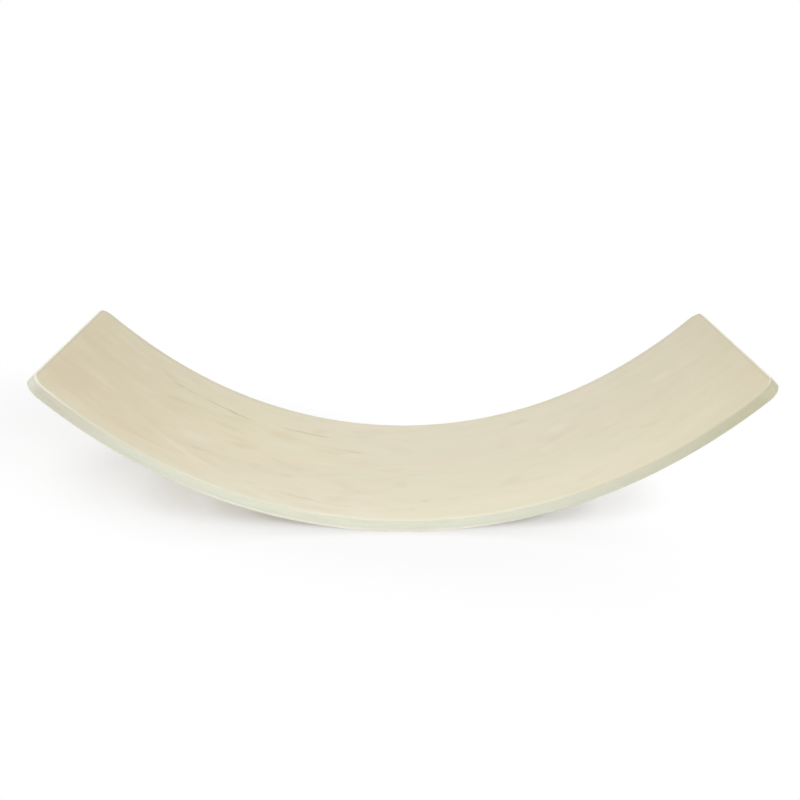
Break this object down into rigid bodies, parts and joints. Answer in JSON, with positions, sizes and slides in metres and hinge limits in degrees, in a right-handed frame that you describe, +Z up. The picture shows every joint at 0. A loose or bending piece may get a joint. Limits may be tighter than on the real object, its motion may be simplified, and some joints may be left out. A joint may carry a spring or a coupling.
{
  "type": "balance seesaw",
  "caption": "Shallow curved bent-plywood rocker board with rounded corners; a child stands, sits or lies on it and it rocks on the floor.",
  "frame": {"origin": "middle of the underside, where the board touches the floor at rest", "axes": "+X along the board towards one tip, +Y across it, +Z up, away from the floor"},
  "size_m": [0.8002, 0.3, 0.177],
  "materials": {
    "face_veneer": "pale cream wood, clear satin lacquer",
    "long_veneer": "sealed veneer edge, pale grey-green white",
    "cross_veneer": "sealed veneer edge, pale grey-green white, a shade darker"
  },
  "bodies": {
    "root": {"bottom_face_veneer": "face_veneer", "cross_veneer_2": "cross_veneer", "long_veneer_3": "long_veneer", "cross_veneer_4": "cross_veneer", "centre_veneer_5": "long_veneer", "cross_veneer_6": "cross_veneer", "long_veneer_7": "long_veneer", "cross_veneer_8": "cross_veneer", "top_face_veneer": "face_veneer"}
  },
  "joints": []
}
